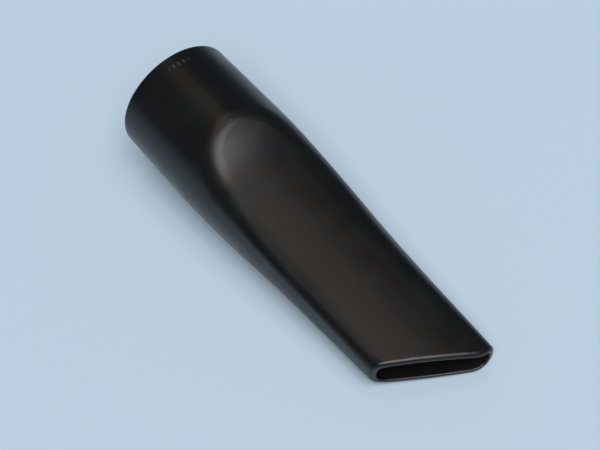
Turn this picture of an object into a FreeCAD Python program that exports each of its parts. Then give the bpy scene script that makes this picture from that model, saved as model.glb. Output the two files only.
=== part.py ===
# Vacuum crevice tool: a round socket that scoops down into a flat blade with a slanted slit mouth.
# Built along +X from the socket rim to the mouth tip, then laid nose down as it rests on a table.
import FreeCAD, Part
import math
import os
import Sketcher

Vector = FreeCAD.Vector
Rule = Sketcher.Constraint

# Driving dimensions, in millimetres and degrees
SIZES = {
    "bore_radius": 17.5,
    "wall": 1.8,
    "socket_length": 27.0,
    "socket_draft": 0.3,
    "neck_radius": 250.0,
    "tip_x": 125.2,
    "mouth_half_width": 14.8,
    "mouth_half_height": 5.7,
    "scoop_setback": 2.8,
    "scoop_angle": 31.0,
    "easing_angle": 12.0,
    "easing_radius": 200.0,
    "face_slope": 3.5,
    "crown_radius": 90.0,
    "crown_half_width": 8.5,
    "shoulder_radius": 27.0,
    "scoop_edge_radius": 9.5,
    "blade_edge_radius": 4.4,
    "blade_edge_x": 80.0,
    "mouth_edge_radius": 3.2,
    "slant_angle": 32.0,
    "blunt_width": 5.0,
    "blunt_radius": 8.0,
    "outer_lip_radius": 1.1,
    "inner_lip_radius": 0.4,
    "rim_radius": 0.6,
    "mark_start": 3.5,
    "mark_length": 1.4,
    "mark_width_angle": 1.6,
    "mark_step_angle": 5.0,
    "mark_count": 5,
    "mark_height": 0.2,
    "runout": 2.0,
}

document = FreeCAD.newDocument("crevice_tool")
sheet = document.addObject("Spreadsheet::Sheet", "sizes")
for row, (size_name, amount) in enumerate(SIZES.items(), 1):
    sheet.set(f"A{row}", size_name)
    sheet.set(f"B{row}", str(amount))
    sheet.setAlias(f"B{row}", size_name)
document.recompute()

# The socket's outer radius where it meets the blade
OUTER_RADIUS = "sizes.bore_radius + sizes.wall"
# Where the flat faces would cut into the socket's top and bottom, were the edge there left sharp
SCOOP_START = "(sizes.socket_length + sizes.scoop_setback)"
# The inside surfaces lie one wall under the outside ones
OUTSIDE = "0"
INSIDE = "sizes.wall"
# A rounding takes at most these shares of the socket's radius, of the blade's half height and of the wall
SCOOP_SHARE = 0.6
SIDE_SHARE = 0.8
OUTER_LIP_SHARE = 0.62
INNER_LIP_SHARE = 0.25
RIM_SHARE = 0.4
# How far a surface may stray and still count as upright, flat or turned about the axis
TOLERANCE = 0.001
TURNED_TOLERANCE = 0.02
# Where along a surface its direction is looked at
TEST_SHARES = (0.3, 0.7)


def evaluate(expression):
    return float(sheet.evalExpression(expression))


def origin_part(body, role):
    return next(part for part in body.Origin.OriginFeatures if part.Role == role)


def new_sketch(body, name, plane_role):
    sketch = body.newObject("Sketcher::SketchObject", name)
    sketch.AttachmentSupport = [(origin_part(body, plane_role), "")]
    sketch.MapMode = "FlatFace"
    return sketch


def dimension(sketch, name, expression, kind, *places):
    # Angles are written in degrees in the sheet and in radians in the sketch
    amount = evaluate(expression)
    if kind == "Angle":
        index = sketch.addConstraint(Rule(kind, *places, math.radians(amount)))
        expression = f"({expression}) * 1 deg"
    else:
        index = sketch.addConstraint(Rule(kind, *places, amount))
    sketch.renameConstraint(index, name)
    sketch.setExpression(f"Constraints.{name}", expression)


def line(start, end):
    return Part.LineSegment(start, end)


def arc(centre, radius, start_angle, end_angle):
    return Part.ArcOfCircle(Part.Circle(centre, Vector(0, 0, 1), radius), start_angle, end_angle)


def turned_profile(body, inset):
    """Half section of the round form: straight socket, soft neck, straight taper to the mouth."""
    rim = f"{OUTER_RADIUS} - ({inset})"
    if inset == OUTSIDE:
        rim += " - sizes.socket_draft"
    socket = f"{OUTER_RADIUS} - ({inset})"
    neck = f"sizes.neck_radius - ({inset})"
    half_width = f"sizes.mouth_half_width - ({inset})"
    length = "sizes.tip_x + sizes.runout"

    rim_radius, socket_radius, neck_radius = evaluate(rim), evaluate(socket), evaluate(neck)
    end_radius, end_x = evaluate(half_width), evaluate(length)
    neck_x = evaluate("sizes.socket_length")
    taper = math.atan((socket_radius - end_radius) / (end_x - neck_x))
    neck_centre = Vector(neck_x, socket_radius - neck_radius)
    taper_start = neck_centre + Vector(math.sin(taper), math.cos(taper)) * neck_radius

    sketch = new_sketch(body, f"{body.Label}_profile", "XZ_Plane")
    axis, rim_line, socket_line, neck_arc, taper_line, end_line, mouth_point = range(7)
    sketch.addGeometry([
        line(Vector(0, 0), Vector(end_x, 0)),
        line(Vector(0, 0), Vector(0, rim_radius)),
        line(Vector(0, rim_radius), Vector(neck_x, socket_radius)),
        arc(neck_centre, neck_radius, math.pi / 2 - taper, math.pi / 2),
        line(taper_start, Vector(end_x, end_radius)),
        line(Vector(end_x, end_radius), Vector(end_x, 0)),
        Part.Point(Vector(evaluate("sizes.tip_x"), end_radius)),
    ], False)
    sketch.toggleConstruction(mouth_point)
    sketch.addConstraint([
        Rule("Coincident", axis, 1, -1, 1),
        Rule("PointOnObject", axis, 2, -1),
        Rule("Coincident", rim_line, 1, axis, 1),
        Rule("PointOnObject", rim_line, 2, -2),
        Rule("Coincident", socket_line, 1, rim_line, 2),
        Rule("Tangent", socket_line, 2, neck_arc, 2),
        Rule("Tangent", neck_arc, 1, taper_line, 1),
        Rule("Coincident", taper_line, 2, end_line, 1),
        Rule("Coincident", end_line, 2, axis, 2),
        Rule("Vertical", end_line),
        Rule("PointOnObject", mouth_point, 1, taper_line),
    ])
    dimension(sketch, "rim_radius", rim, "DistanceY", -1, 1, rim_line, 2)
    dimension(sketch, "socket_radius", socket, "DistanceY", -1, 1, socket_line, 2)
    dimension(sketch, "socket_length", "sizes.socket_length", "DistanceX", -1, 1, socket_line, 2)
    dimension(sketch, "neck_radius", neck, "Radius", neck_arc)
    dimension(sketch, "length", length, "DistanceX", -1, 1, axis, 2)
    dimension(sketch, "tip_x", "sizes.tip_x", "DistanceX", -1, 1, mouth_point, 1)
    dimension(sketch, "half_width", half_width, "DistanceY", -1, 1, mouth_point, 1)
    return sketch


def slope_normal(angle):
    """Direction square to a surface that falls towards the mouth at this angle, in side view."""
    return Vector(math.sin(angle), math.cos(angle))


def face_path(body, inset):
    """Side view of the top face: it scoops down, eases off and runs straight to the mouth."""
    end_x = evaluate("sizes.tip_x + sizes.runout")
    entry_x = f"{SCOOP_START} - ({inset}) * sin(sizes.scoop_angle * 1 deg)"
    entry_z = f"{OUTER_RADIUS} - ({inset}) * cos(sizes.scoop_angle * 1 deg)"
    mouth_x = f"sizes.tip_x - ({inset}) * sin(sizes.face_slope * 1 deg)"
    mouth_z = f"sizes.mouth_half_height - ({inset}) * cos(sizes.face_slope * 1 deg)"
    easing = f"sizes.easing_radius + ({inset})"
    top_z = f"{OUTER_RADIUS} + sizes.runout"

    scoop_angle, easing_angle, slope = (
        math.radians(evaluate(f"sizes.{name}"))
        for name in ("scoop_angle", "easing_angle", "face_slope"))
    across_scoop, across_easing, across_slope = map(slope_normal, (scoop_angle, easing_angle, slope))
    entry = Vector(evaluate(entry_x), evaluate(entry_z))
    mouth = Vector(evaluate(mouth_x), evaluate(mouth_z))
    easing_radius = evaluate(easing)
    # The straight run ends on the mouth point, which settles the radius of the scoop
    rise = (mouth - entry).dot(across_slope) + easing_radius * (1 - across_easing.dot(across_slope))
    scoop_radius = rise / (across_scoop - across_easing).dot(across_slope)
    scoop_centre = entry + across_scoop * scoop_radius
    easing_centre = scoop_centre + across_easing * (easing_radius - scoop_radius)
    straight_start = easing_centre - across_slope * easing_radius
    straight_end = Vector(end_x, mouth.y - (end_x - mouth.x) * math.tan(slope))
    top_angle = math.asin((evaluate(top_z) - scoop_centre.y) / scoop_radius)
    down = -math.pi / 2

    sketch = new_sketch(body, f"{body.Label}_face_path", "XZ_Plane")
    straight, easing_arc, scoop_arc, entry_ray, easing_ray, mouth_point = range(6)
    sketch.addGeometry([
        line(straight_end, straight_start),
        arc(easing_centre, easing_radius, down - easing_angle, down - slope),
        arc(scoop_centre, scoop_radius, -math.pi - top_angle, down - easing_angle),
        line(scoop_centre, entry),
        line(scoop_centre, scoop_centre - across_easing * scoop_radius),
        Part.Point(mouth),
    ], False)
    for guide in (entry_ray, easing_ray, mouth_point):
        sketch.toggleConstruction(guide)
    sketch.addConstraint([
        Rule("Tangent", straight, 2, easing_arc, 2),
        Rule("Tangent", easing_arc, 1, scoop_arc, 2),
        Rule("Coincident", entry_ray, 1, scoop_arc, 3),
        Rule("PointOnObject", entry_ray, 2, scoop_arc),
        Rule("Coincident", easing_ray, 1, scoop_arc, 3),
        Rule("Coincident", easing_ray, 2, scoop_arc, 2),
        Rule("PointOnObject", mouth_point, 1, straight),
    ])
    dimension(sketch, "entry_x", entry_x, "DistanceX", -1, 1, entry_ray, 2)
    dimension(sketch, "entry_z", entry_z, "DistanceY", -1, 1, entry_ray, 2)
    dimension(sketch, "scoop_angle", "-90 - sizes.scoop_angle", "Angle", entry_ray)
    dimension(sketch, "easing_angle", "-90 - sizes.easing_angle", "Angle", easing_ray)
    dimension(sketch, "easing_radius", easing, "Radius", easing_arc)
    dimension(sketch, "mouth_x", mouth_x, "DistanceX", -1, 1, mouth_point, 1)
    dimension(sketch, "mouth_z", mouth_z, "DistanceY", -1, 1, mouth_point, 1)
    dimension(sketch, "face_slope", "180 - sizes.face_slope", "Angle", straight)
    dimension(sketch, "length", "sizes.tip_x + sizes.runout", "DistanceX", -1, 1, straight, 1)
    dimension(sketch, "top", top_z, "DistanceY", -1, 1, scoop_arc, 1)
    return sketch


def crown_profile(body, inset):
    """Cross-section of what is scooped away: all above a gentle crown that rolls off at its shoulders."""
    length = "sizes.tip_x + sizes.runout"
    drop = "sizes.runout * tan(sizes.face_slope * 1 deg)"
    offset = f"({inset}) / cos(sizes.face_slope * 1 deg)"
    crown = f"sizes.crown_radius - ({inset})"
    shoulder = f"sizes.shoulder_radius - ({inset})"
    shoulder_start = f"sizes.crown_half_width * ({crown}) / sizes.crown_radius"
    centre_depth = f"{crown} - (sizes.mouth_half_height - {drop} - {offset})"
    half_width = f"{OUTER_RADIUS} + sizes.runout"

    crown_radius, shoulder_radius = evaluate(crown), evaluate(shoulder)
    depth, reach = evaluate(centre_depth), evaluate(half_width)
    spread = math.asin(evaluate(shoulder_start) / crown_radius)
    shoulder_y = (crown_radius - shoulder_radius) * math.sin(spread)
    shoulder_z = (crown_radius - shoulder_radius) * math.cos(spread) - depth
    outer_spread = math.asin((reach - shoulder_y) / shoulder_radius)
    edge_z = shoulder_z + shoulder_radius * math.cos(outer_spread)
    upright = math.pi / 2

    sketch = new_sketch(body, f"{body.Label}_crown", "YZ_Plane")
    sketch.setExpression("AttachmentOffset.Base.z", length)
    crown_arc, left_arc, left, top, right, right_arc = range(6)
    sketch.addGeometry([
        arc(Vector(0, -depth), crown_radius, upright - spread, upright + spread),
        arc(Vector(-shoulder_y, shoulder_z), shoulder_radius, upright + spread, upright + outer_spread),
        line(Vector(-reach, edge_z), Vector(-reach, reach)),
        line(Vector(-reach, reach), Vector(reach, reach)),
        line(Vector(reach, reach), Vector(reach, edge_z)),
        arc(Vector(shoulder_y, shoulder_z), shoulder_radius, upright - outer_spread, upright - spread),
    ], False)
    sketch.addConstraint([
        Rule("Tangent", crown_arc, 2, left_arc, 1),
        Rule("Tangent", crown_arc, 1, right_arc, 2),
        Rule("Coincident", left_arc, 2, left, 1),
        Rule("Coincident", left, 2, top, 1),
        Rule("Coincident", top, 2, right, 1),
        Rule("Coincident", right, 2, right_arc, 1),
        Rule("Vertical", left),
        Rule("Vertical", right),
        Rule("Equal", left_arc, right_arc),
        Rule("Symmetric", top, 1, top, 2, -2),
        Rule("PointOnObject", crown_arc, 3, -2),
    ])
    dimension(sketch, "crown_radius", crown, "Radius", crown_arc)
    dimension(sketch, "shoulder_radius", shoulder, "Radius", right_arc)
    dimension(sketch, "left_start", shoulder_start, "DistanceX", crown_arc, 2, -1, 1)
    dimension(sketch, "right_start", shoulder_start, "DistanceX", -1, 1, crown_arc, 1)
    dimension(sketch, "centre_depth", centre_depth, "DistanceY", crown_arc, 3, -1, 1)
    dimension(sketch, "half_width", half_width, "DistanceX", -1, 1, top, 2)
    dimension(sketch, "top", half_width, "DistanceY", -1, 1, top, 2)
    return sketch


def goes_round_x(face):
    """True for a surface turned about the X axis: its normals have no part around that axis."""
    u_low, u_high, v_low, v_high = face.ParameterRange
    for share in TEST_SHARES:
        u, v = u_low + (u_high - u_low) * share, v_low + (v_high - v_low) * share
        point, normal = face.valueAt(u, v), face.normalAt(u, v)
        around = Vector(0, -point.z, point.y).normalize()
        if abs(normal.dot(around)) > TURNED_TOLERANCE:
            return False
    return True


def is_end_face(face):
    return face.BoundBox.XLength < TOLERANCE


def is_flattened(face):
    return not goes_round_x(face) and not is_end_face(face)


def is_round(face):
    return goes_round_x(face) and not is_end_face(face)


def edges_between(shape, first_kind, second_kind):
    """Names of the edges where a face of one kind meets a face of the other."""
    names = []
    for number, edge in enumerate(shape.Edges, 1):
        faces = [face for face in shape.Faces if any(edge.isSame(other) for other in face.Edges)]
        if len(faces) != 2:
            continue
        one, two = faces
        if (first_kind(one) and second_kind(two)) or (first_kind(two) and second_kind(one)):
            names.append(f"Edge{number}")
    return names


def edge_rounding(x, inset):
    """Radius of the long edges at a place along the tool: widest at the scoop, tightest at the mouth."""
    height_limit = f"{SIDE_SHARE} * sizes.mouth_half_height"
    stations = (
        (SCOOP_START, "sizes.scoop_edge_radius", f"{SCOOP_SHARE} * ({OUTER_RADIUS})"),
        ("sizes.blade_edge_x", "sizes.blade_edge_radius", height_limit),
        ("sizes.tip_x", "sizes.mouth_edge_radius", height_limit),
    )
    known = [(evaluate(place), evaluate(f"min({radius}; {limit}) - ({inset})"))
             for place, radius, limit in stations]
    blade_x = known[1][0]
    (start, first), (end, last) = known[:2] if x < blade_x else known[1:]
    share = min(max((x - start) / (end - start), 0), 1)
    return first + (last - first) * share


def scooped_form(label, inset):
    """The whole tapered form, crowned flats top and bottom, moved in by the inset all over."""
    body = document.addObject("PartDesign::Body", f"{label}_faces")
    turned = body.newObject("PartDesign::Revolution", f"{label}_turned")
    turned.Profile = turned_profile(body, inset)
    turned.ReferenceAxis = (turned.Profile[0], ["H_Axis"])
    turned.Angle = 360

    path = face_path(body, inset)
    crown = crown_profile(body, inset)
    document.recompute()
    face_cut = body.newObject("PartDesign::SubtractivePipe", f"{label}_top_face")
    face_cut.Profile = crown
    face_cut.Spine = (path, ["Edge1", "Edge2", "Edge3"])
    both_faces = body.newObject("PartDesign::Mirrored", f"{label}_both_faces")
    both_faces.Originals = [face_cut]
    both_faces.MirrorPlane = (origin_part(body, "XY_Plane"), [""])
    body.Tip = both_faces
    document.recompute()

    edges = []
    for name in edges_between(both_faces.Shape, is_flattened, is_round):
        number = int(name.removeprefix("Edge"))
        edge = both_faces.Shape.Edges[number - 1]
        ends = (edge.valueAt(edge.FirstParameter), edge.valueAt(edge.LastParameter))
        edges.append((number, *(edge_rounding(end.x, inset) for end in ends)))
    form = document.addObject("Part::Fillet", f"{label}_form")
    form.Base = body
    form.Edges = edges
    document.recompute()
    return form


def mouth_outline(body):
    """Plan view of what is cut off the blade: a slanted line that turns square to the axis at the tip."""
    half_width = f"{OUTER_RADIUS} + sizes.runout"
    far_end = "sizes.tip_x + 2 * sizes.runout"
    blunt_start = "sizes.mouth_half_width - sizes.blunt_width"
    reach, tip_x = evaluate(half_width), evaluate("sizes.tip_x")
    far_x, corner_y = evaluate(far_end), evaluate(blunt_start)
    slant = math.radians(evaluate("sizes.slant_angle"))
    radius = evaluate("sizes.blunt_radius")
    setback = radius * math.tan(slant / 2)
    along = Vector(math.sin(slant), math.cos(slant))
    corner = Vector(tip_x, corner_y)
    side_start = corner - along * ((corner_y + reach) / math.cos(slant))
    centre = Vector(tip_x - radius, corner_y + setback)

    sketch = new_sketch(body, "mouth_outline", "XY_Plane")
    slanted, blend, blunt, side, far, near, corner_point = range(7)
    sketch.addGeometry([
        line(side_start, corner - along * setback),
        arc(centre, radius, -slant, 0),
        line(centre + Vector(radius, 0), Vector(tip_x, reach)),
        line(Vector(tip_x, reach), Vector(far_x, reach)),
        line(Vector(far_x, reach), Vector(far_x, -reach)),
        line(Vector(far_x, -reach), side_start),
        Part.Point(corner),
    ], False)
    sketch.toggleConstruction(corner_point)
    sketch.addConstraint([
        Rule("Tangent", slanted, 2, blend, 1),
        Rule("Tangent", blend, 2, blunt, 1),
        Rule("Coincident", blunt, 2, side, 1),
        Rule("Coincident", side, 2, far, 1),
        Rule("Coincident", far, 2, near, 1),
        Rule("Coincident", near, 2, slanted, 1),
        Rule("Vertical", blunt),
        Rule("Horizontal", side),
        Rule("Vertical", far),
        Rule("Horizontal", near),
        Rule("PointOnObject", corner_point, 1, slanted),
        Rule("PointOnObject", corner_point, 1, blunt),
    ])
    dimension(sketch, "slant_angle", "90 - sizes.slant_angle", "Angle", slanted)
    dimension(sketch, "blunt_radius", "sizes.blunt_radius", "Radius", blend)
    dimension(sketch, "tip_x", "sizes.tip_x", "DistanceX", -1, 1, blunt, 2)
    dimension(sketch, "far_end", far_end, "DistanceX", -1, 1, far, 1)
    dimension(sketch, "blunt_start", blunt_start, "DistanceY", -1, 1, corner_point, 1)
    dimension(sketch, "long_side", half_width, "DistanceY", -1, 1, side, 1)
    dimension(sketch, "short_side", half_width, "DistanceY", near, 1, -1, 1)
    return sketch


def middle_of(face):
    """A point in the middle of a face and its outward direction there."""
    u_low, u_high, v_low, v_high = face.ParameterRange
    u, v = (u_low + u_high) / 2, (v_low + v_high) / 2
    return face.valueAt(u, v), face.normalAt(u, v)


def is_mouth_face(face):
    """True for the upright end surfaces of the blade, flat or curved in plan."""
    upright = abs(middle_of(face)[1].z) < TOLERANCE
    return upright and face.BoundBox.XMin > evaluate(SCOOP_START)


def is_wall_face(face):
    return not is_mouth_face(face) and not is_end_face(face)


def is_outer_wall(face):
    point, normal = middle_of(face)
    return is_wall_face(face) and point.y * normal.y + point.z * normal.z > 0


def is_inner_wall(face):
    return is_wall_face(face) and not is_outer_wall(face)


def rounded(body, base, name, edges, radius):
    """The base feature with these edges rounded."""
    fillet = body.newObject("PartDesign::Fillet", name)
    fillet.Base = (base, edges)
    fillet.setExpression("Radius", radius)
    body.Tip = fillet
    document.recompute()
    return fillet


def mark_section(body):
    """Section of one small raised bar on the top of the socket, swung to the start of its row."""
    low = f"{OUTER_RADIUS} - sizes.wall / 2"
    high = f"{OUTER_RADIUS} - sizes.socket_draft + sizes.mark_height"
    start, length = evaluate("sizes.mark_start"), evaluate("sizes.mark_length")
    bottom, top = evaluate(low), evaluate(high)

    half_row = "(sizes.mark_count - 1) * sizes.mark_step_angle / 2"
    swing = FreeCAD.Rotation(Vector(-1, 0, 0), evaluate(half_row))

    sketch = new_sketch(body, "mark_section", "XZ_Plane")
    sketch.AttachmentOffset = FreeCAD.Placement(Vector(), swing)
    sketch.setExpression("AttachmentOffset.Rotation.Angle", f"({half_row}) * 1 deg")
    sketch.addGeometry([
        line(Vector(start, bottom), Vector(start + length, bottom)),
        line(Vector(start + length, bottom), Vector(start + length, top)),
        line(Vector(start + length, top), Vector(start, top)),
        line(Vector(start, top), Vector(start, bottom)),
    ], False)
    base, front, crest, back = range(4)
    sketch.addConstraint([
        Rule("Coincident", base, 2, front, 1),
        Rule("Coincident", front, 2, crest, 1),
        Rule("Coincident", crest, 2, back, 1),
        Rule("Coincident", back, 2, base, 1),
        Rule("Horizontal", base),
        Rule("Vertical", front),
        Rule("Horizontal", crest),
        Rule("Vertical", back),
    ])
    dimension(sketch, "start", "sizes.mark_start", "DistanceX", -1, 1, base, 1)
    dimension(sketch, "length", "sizes.mark_length", "DistanceX", base, 1, base, 2)
    dimension(sketch, "bottom", low, "DistanceY", -1, 1, base, 1)
    dimension(sketch, "top", high, "DistanceY", -1, 1, crest, 1)
    return sketch


tool = document.addObject("PartDesign::Body", "crevice_tool")
tool.BaseFeature = scooped_form("outer", OUTSIDE)
duct = document.addObject("PartDesign::Body", "air_duct")
duct.BaseFeature = scooped_form("inner", INSIDE)

# The air duct runs through from the rim to the mouth
hollow = tool.newObject("PartDesign::Boolean", "hollow")
hollow.Type = "Cut"
hollow.setObjects([duct])
tool.Tip = hollow
document.recompute()

mouth = tool.newObject("PartDesign::Pocket", "mouth_cut")
mouth.Profile = mouth_outline(tool)
mouth.Type = "ThroughAll"
mouth.SideType = "Symmetric"
document.recompute()

# Softened lips: a full round outside the mouth, a slight one inside it, and both edges of the socket's rim
outer_edges = edges_between(mouth.Shape, is_mouth_face, is_outer_wall)
outer_lip = rounded(tool, mouth, "outer_lip", outer_edges,
                    f"min(sizes.outer_lip_radius; {OUTER_LIP_SHARE} * sizes.wall)")
inner_edges = edges_between(outer_lip.Shape, is_mouth_face, is_inner_wall)
inner_lip = rounded(tool, outer_lip, "inner_lip", inner_edges,
                    f"min(sizes.inner_lip_radius; {INNER_LIP_SHARE} * sizes.wall)")
rim_edges = edges_between(inner_lip.Shape, is_end_face, is_wall_face)
rounded(tool, inner_lip, "rim", rim_edges, f"min(sizes.rim_radius; {RIM_SHARE} * sizes.wall)")

# A row of plain raised bars across the top of the socket
bar = tool.newObject("PartDesign::Revolution", "raised_bar")
bar.Profile = mark_section(tool)
bar.ReferenceAxis = (bar.Profile[0], ["H_Axis"])
bar.setExpression("Angle", "sizes.mark_width_angle")
bar.Midplane = True
bars = tool.newObject("PartDesign::PolarPattern", "raised_bars")
bars.Originals = [bar]
bars.Axis = (origin_part(tool, "X_Axis"), [""])
bars.setExpression("Angle", "(sizes.mark_count - 1) * sizes.mark_step_angle")
bars.setExpression("Occurrences", "sizes.mark_count")
tool.Tip = bars
document.recompute()

# The tool lies nose down on its lower side: on the rounded start of the scoop and on the mouth
fall = evaluate(f"{OUTER_RADIUS} - sizes.mouth_half_height")
scoop_x = evaluate(SCOOP_START)
rounding_reach = edge_rounding(scoop_x, OUTSIDE) * math.tan(math.radians(evaluate("sizes.scoop_angle")) / 2)
nose_down = math.degrees(math.atan(fall / (evaluate("sizes.tip_x") - scoop_x + rounding_reach)))
tool.Placement = FreeCAD.Placement(Vector(), FreeCAD.Rotation(Vector(0, 1, 0), nose_down))
document.recompute()
box = tool.Shape.optimalBoundingBox(True, False)
tool.Placement.Base = Vector(-box.Center.x, -box.Center.y, -box.ZMin)
document.recompute()

for item in document.Objects:
    if "Invalid" in item.State or "Error" in item.State:
        raise RuntimeError(f"{item.Label} could not be built")
if tool.Shape.isNull() or not tool.Shape.isValid() or len(tool.Shape.Solids) != 1:
    raise RuntimeError("crevice_tool is not one sound solid")

os.makedirs("parts", exist_ok=True)
tool.Shape.exportStep(f"parts/{tool.Label}.step")
print(f"volume {tool.Shape.Volume:.1f} mm3, nose down {nose_down:.2f} degrees")
print(f"box {box.XLength:.2f} x {box.YLength:.2f} x {box.ZLength:.2f} mm")
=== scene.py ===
# A moulded black vacuum crevice tool lying on a plain pale floor under soft studio light.
import math

import bpy
from mathutils import Matrix, Vector

MM = 0.001

# Camera: where it looks, from which side, how far off and how it is turned about its own axis
CAMERA_TARGET_MM = (-1.10, -0.01, 14.66)
CAMERA_AZIMUTH_DEG = -32.115
CAMERA_ELEVATION_DEG = 50.600
CAMERA_ROLL_DEG = -8.281
CAMERA_DISTANCE_MM = 371.17
CAMERA_NEAR_M = 0.01
CAMERA_FAR_M = 100
IMAGE_WIDTH_PX = 600
FOCAL_LENGTH_PX = 1300
SENSOR_WIDTH_MM = 36.0

# Floor: colour, size and how soft it is
FLOOR_COLOUR = (0.50, 0.64, 0.76)
FLOOR_SIZE_MM = 6000
FLOOR_ROUGHNESS = 0.7

# Soft lamps: azimuth and elevation as seen from the part and how wide they look from it, in degrees, and
# how bright a white floor looks under each
LAMPS = (
    {"name": "key_lamp", "azimuth": -30, "elevation": 55, "spread": 40, "level": 0.72,
     "colour": (1.0, 0.97, 0.93)},
    {"name": "top_lamp", "azimuth": 145, "elevation": 78, "spread": 30, "level": 0.08,
     "colour": (1.0, 0.78, 0.58)},
    {"name": "side_lamp", "azimuth": 19, "elevation": 63, "spread": 24, "level": 0.15,
     "colour": (0.96, 0.92, 1.0)},
)

# Faint even light from all round
WORLD_COLOUR = (0.36, 0.66, 1.0)
WORLD_STRENGTH = 0.12

# Moulded plastic: black with a slightly uneven tone, and satin with a slightly uneven gloss
PLASTIC_DARK = (0.0035, 0.0032, 0.0034)
PLASTIC_LIGHT = (0.0075, 0.0068, 0.0066)
PLASTIC_IOR = 1.42
TONE_SIZE_MM = 9.0
SHEEN_PATCH_SIZE_MM = 9.0
SHEEN_NOISE_LEVELS = (0.3, 0.7)
ROUGHNESS_RANGE = (0.30, 0.35)
PATCH_NOISE_DETAIL = 3.0

# Its relief: a fine grain on a soft unevenness
GRAIN_SIZE_MM = 0.35
GRAIN_DEPTH_MM = 0.004
WAVE_SIZE_MM = 14.0
WAVE_DEPTH_MM = 0.004
RELIEF_NOISE_DETAIL = 2.0

# Fine dust specks: spacing, radius, the share of the radius at full strength, and colour
SPECK_SPACING_MM = 2.4
SPECK_RADIUS_MM = 0.13
SPECK_CORE_SHARE = 0.5
SPECK_COLOUR = (0.09, 0.082, 0.078)

# A light mark at the start of the scoop, partly a scuff and partly a painted highlight, made of streaks
# across the tool
SCUFF_AND_HIGHLIGHT_PLACE_MM = (-29.6, 0.0, 38.1)
SCUFF_AND_HIGHLIGHT_REACH_MM = 3.0
SCUFF_AND_HIGHLIGHT_STREAK_MM = (0.4, 3.0, 0.4)
SCUFF_AND_HIGHLIGHT_NOISE_LEVELS = (0.62, 0.72)
SCUFF_AND_HIGHLIGHT_COLOUR = (0.06, 0.055, 0.052)

# The raised bars on top of the socket are rubbed lighter: a point on the socket's axis and its direction,
# the middle of the bars, and the distances from the axis at which the rubbing begins and is full
SOCKET_CENTRE_MM = (-61.0, 0.0, 22.965)
SOCKET_AXIS = (0.99051, 0.0, -0.13741)
BARS_PLACE_MM = (-54.2, 0.0, 41.5)
BARS_REACH_MM = 4.5
BARS_RADII_MM = (19.08, 19.16)
RUBBED_COLOUR = (0.045, 0.042, 0.040)

# The share of a marked place's reach that is at full strength, for the rubbed bars and for the scuff with its
# painted highlight
WEAR_AND_HIGHLIGHT_CORE_SHARE = 1 / 3


def in_metres(lengths_mm):
    return [length * MM for length in lengths_mm]


def direction(azimuth, elevation):
    """Unit vector from the part towards a compass bearing and height, in degrees."""
    bearing, height = math.radians(azimuth), math.radians(elevation)
    return Vector((
        math.cos(bearing) * math.cos(height),
        math.sin(bearing) * math.cos(height),
        math.sin(height),
    ))


def look_along(back, roll=0.0):
    """Rotation of a camera or lamp whose back faces the given direction."""
    right = Vector((0, 0, 1)).cross(back).normalized()
    up = back.cross(right)
    turned = Matrix((right, up, back)).transposed().to_4x4()
    return turned @ Matrix.Rotation(math.radians(roll), 4, "Z")


def add_object(name, data):
    added = bpy.data.objects.new(name, data)
    bpy.context.collection.objects.link(added)
    return added


def add_camera():
    data = bpy.data.cameras.new("camera")
    data.sensor_fit = "HORIZONTAL"
    data.sensor_width = SENSOR_WIDTH_MM
    data.lens = FOCAL_LENGTH_PX / IMAGE_WIDTH_PX * SENSOR_WIDTH_MM
    data.clip_start = CAMERA_NEAR_M
    data.clip_end = CAMERA_FAR_M
    camera = add_object("camera", data)
    back = direction(CAMERA_AZIMUTH_DEG, CAMERA_ELEVATION_DEG)
    camera.matrix_world = look_along(back, CAMERA_ROLL_DEG)
    camera.location = (Vector(CAMERA_TARGET_MM) + back * CAMERA_DISTANCE_MM) * MM
    bpy.context.scene.camera = camera


def add_lamp(lamp):
    back = direction(lamp["azimuth"], lamp["elevation"])
    data = bpy.data.lights.new(lamp["name"], "SUN")
    data.angle = math.radians(lamp["spread"])
    data.energy = math.pi * lamp["level"] / back.z
    data.color = lamp["colour"]
    placed = add_object(lamp["name"], data)
    placed.matrix_world = look_along(back)
    placed.location = back


def set_sockets(tree, node, settings):
    """Set sockets to values, or link them to other nodes' outputs."""
    for socket, setting in settings.items():
        target = node.inputs[socket]
        if isinstance(setting, bpy.types.NodeSocket):
            tree.links.new(setting, target)
        else:
            target.default_value = setting


def new_material(name):
    material = bpy.data.materials.new(name)
    material.use_nodes = True
    tree = material.node_tree
    return material, tree, tree.nodes["Principled BSDF"]


def floor_material():
    material, tree, shader = new_material("pale_floor")
    set_sockets(tree, shader, {"Base Color": (*FLOOR_COLOUR, 1), "Roughness": FLOOR_ROUGHNESS})
    return material


def add_floor():
    half = FLOOR_SIZE_MM * MM / 2
    corners = [(-half, -half, 0), (half, -half, 0), (half, half, 0), (-half, half, 0)]
    mesh = bpy.data.meshes.new("floor")
    mesh.from_pydata(corners, [], [(0, 1, 2, 3)])
    mesh.materials.append(floor_material())
    floor = add_object("floor", mesh)


def set_world():
    world = bpy.data.worlds.new("world")
    world.use_nodes = True
    tree = world.node_tree
    set_sockets(tree, tree.nodes["Background"], {"Color": (*WORLD_COLOUR, 1), "Strength": WORLD_STRENGTH})
    bpy.context.scene.world = world


def add_node(tree, kind, settings, **options):
    """New node with these options, and with its sockets set or linked."""
    node = tree.nodes.new(kind)
    for option, choice in options.items():
        setattr(node, option, choice)
    set_sockets(tree, node, settings)
    return node


def vector_math(tree, operation, *vectors):
    """Outputs of a vector sum, product or distance of one or two vectors."""
    return add_node(tree, "ShaderNodeVectorMath", dict(enumerate(vectors)), operation=operation).outputs


def noise(tree, place, size, detail):
    """Cloudy amount between 0 and 1, with clouds of about this size."""
    settings = {"Vector": place, "Scale": 1 / size, "Detail": detail}
    return add_node(tree, "ShaderNodeTexNoise", settings).outputs["Fac"]


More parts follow.
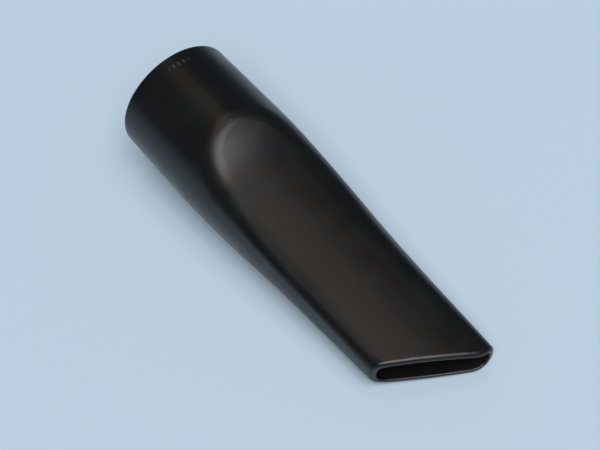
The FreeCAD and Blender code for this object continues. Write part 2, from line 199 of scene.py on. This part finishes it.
def ramp(tree, amount, start, end, low=0.0, high=1.0):
    """The amount between start and end, mapped smoothly onto low to high."""
    settings = {"Value": amount, "From Min": start, "From Max": end, "To Min": low, "To Max": high}
    return add_node(tree, "ShaderNodeMapRange", settings, interpolation_type="SMOOTHSTEP").outputs["Result"]


def mixed(tree, share, one, other):
    """Colour that goes from one to the other as the share goes from 0 to 1."""
    settings = {"Fac": share, "Color1": one, "Color2": other}
    return add_node(tree, "ShaderNodeMixRGB", settings).outputs["Color"]


def product(tree, one, other):
    return add_node(tree, "ShaderNodeMath", {0: one, 1: other}, operation="MULTIPLY").outputs["Value"]


def nearness(tree, place, centre_mm, reach_mm):
    """One around a place, falling to nothing at its reach."""
    away = vector_math(tree, "DISTANCE", place, in_metres(centre_mm))["Value"]
    reach = reach_mm * MM
    return ramp(tree, away, reach * WEAR_AND_HIGHLIGHT_CORE_SHARE, reach, 1.0, 0.0)


def specks(tree, place):
    """Mask of tiny round specks scattered over the surface."""
    settings = {"Vector": place, "Scale": 1 / (SPECK_SPACING_MM * MM)}
    cells = add_node(tree, "ShaderNodeTexVoronoi", settings)
    radius = SPECK_RADIUS_MM / SPECK_SPACING_MM
    return ramp(tree, cells.outputs["Distance"], radius * SPECK_CORE_SHARE, radius, 1.0, 0.0)


def scuff_and_highlight(tree, place):
    """Mask of short streaks across the tool, a scuff with a painted highlight, that fade out around their
    place.
    """
    near = nearness(tree, place, SCUFF_AND_HIGHLIGHT_PLACE_MM, SCUFF_AND_HIGHLIGHT_REACH_MM)
    per_metre = [1 / length for length in in_metres(SCUFF_AND_HIGHLIGHT_STREAK_MM)]
    counted = add_node(tree, "ShaderNodeMapping", {"Vector": place, "Scale": per_metre})
    streaks = noise(tree, counted.outputs["Vector"], 1, PATCH_NOISE_DETAIL)
    return product(tree, near, ramp(tree, streaks, *SCUFF_AND_HIGHLIGHT_NOISE_LEVELS))


def rubbed_bars(tree, place):
    """Mask of the raised bars' tops, which stand further out from the socket's axis than its wall."""
    outward = vector_math(tree, "SUBTRACT", place, in_metres(SOCKET_CENTRE_MM))["Vector"]
    across = vector_math(tree, "CROSS_PRODUCT", outward, SOCKET_AXIS)["Vector"]
    radius = vector_math(tree, "LENGTH", across)["Value"]
    proud = ramp(tree, radius, *in_metres(BARS_RADII_MM))
    return product(tree, proud, nearness(tree, place, BARS_PLACE_MM, BARS_REACH_MM))


def bumped(tree, height, depth_mm, below=None):
    """Surface direction with this relief on it, on top of the relief below."""
    settings = {"Height": height, "Distance": depth_mm * MM}
    if below is not None:
        settings["Normal"] = below
    return add_node(tree, "ShaderNodeBump", settings).outputs["Normal"]


def plastic_material():
    material, tree, shader = new_material("black_plastic")
    place = tree.nodes.new("ShaderNodeTexCoord").outputs["Object"]
    patches = noise(tree, place, TONE_SIZE_MM * MM, PATCH_NOISE_DETAIL)
    tone = mixed(tree, patches, (*PLASTIC_DARK, 1), (*PLASTIC_LIGHT, 1))
    dusted = mixed(tree, specks(tree, place), tone, (*SPECK_COLOUR, 1))
    # Painted highlight, together with a light scuff, at the start of the scoop
    scuffed_and_highlit = mixed(tree, scuff_and_highlight(tree, place), dusted, (*SCUFF_AND_HIGHLIGHT_COLOUR, 1))
    rubbed = mixed(tree, rubbed_bars(tree, place), scuffed_and_highlit, (*RUBBED_COLOUR, 1))
    sheen = noise(tree, place, SHEEN_PATCH_SIZE_MM * MM, PATCH_NOISE_DETAIL)
    satin = ramp(tree, sheen, *SHEEN_NOISE_LEVELS, *ROUGHNESS_RANGE)
    wave = bumped(tree, noise(tree, place, WAVE_SIZE_MM * MM, RELIEF_NOISE_DETAIL), WAVE_DEPTH_MM)
    grain = bumped(tree, noise(tree, place, GRAIN_SIZE_MM * MM, RELIEF_NOISE_DETAIL), GRAIN_DEPTH_MM, wave)
    set_sockets(tree, shader, {"Base Color": rubbed, "Roughness": satin, "IOR": PLASTIC_IOR, "Normal": grain})
    return material


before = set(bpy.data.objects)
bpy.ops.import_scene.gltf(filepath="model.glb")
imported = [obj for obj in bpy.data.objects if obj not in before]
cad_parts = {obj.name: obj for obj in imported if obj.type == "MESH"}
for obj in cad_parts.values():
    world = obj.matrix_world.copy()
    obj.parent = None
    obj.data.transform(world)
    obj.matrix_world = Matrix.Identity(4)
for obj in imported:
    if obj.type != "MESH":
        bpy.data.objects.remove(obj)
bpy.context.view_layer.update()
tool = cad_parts["crevice_tool"]
plastic = plastic_material()
for slot in tool.material_slots:
    slot.material = plastic

add_camera()
add_floor()
for lamp in LAMPS:
    add_lamp(lamp)
set_world()
bpy.context.scene.view_settings.view_transform = "Standard"
